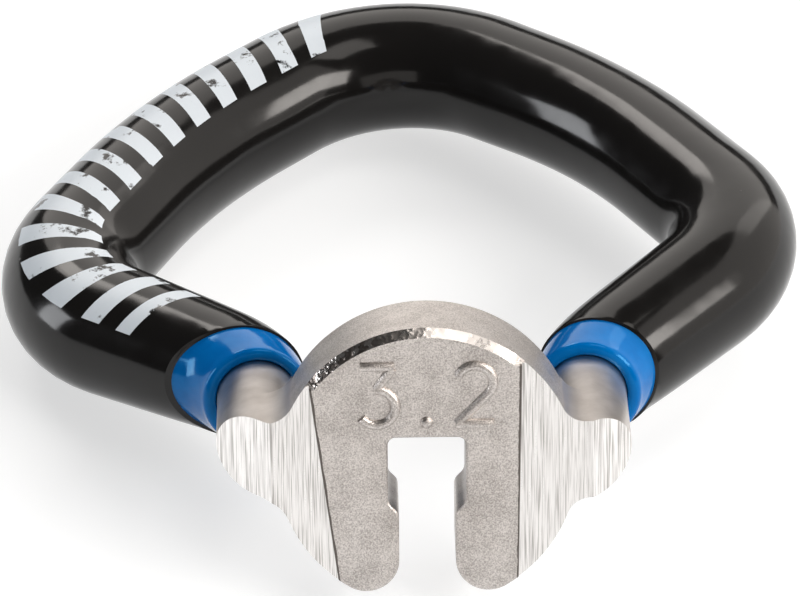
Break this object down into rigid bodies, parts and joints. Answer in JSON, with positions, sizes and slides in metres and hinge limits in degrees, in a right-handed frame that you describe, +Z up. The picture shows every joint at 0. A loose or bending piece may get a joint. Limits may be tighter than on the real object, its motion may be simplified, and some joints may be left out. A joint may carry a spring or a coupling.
{
  "type": "spoke wrench",
  "caption": "Ring-handled spoke wrench: slotted steel disc head with a square nipple pocket, brazed between the ends of a bent rod loop with blue and black dipped vinyl coats.",
  "frame": {"origin": "middle of the head's axis at its front face, where the nipple's axis enters the pocket", "axes": "+X to the right across the pocket, from the left drive flat to the right one; +Y back along the loop; +Z up as the wrench lies on a bench, on its legs and its loop"},
  "size_m": [0.0357, 0.0376, 0.0129],
  "materials": {
    "head_steel": "bead-blasted steel with ground bright side strips",
    "rod_steel": "bead-blasted steel, ends ground bright",
    "braze": "blasted braze, ground flush at the front",
    "blue_vinyl": "glossy dipped vinyl",
    "black_vinyl": "glossy dipped vinyl"
  },
  "bodies": {
    "root": {"head": "head_steel", "handle_rod": "rod_steel", "left_braze": "braze", "right_braze": "braze", "blue_undercoat": "blue_vinyl", "black_grip": "black_vinyl"}
  },
  "joints": []
}
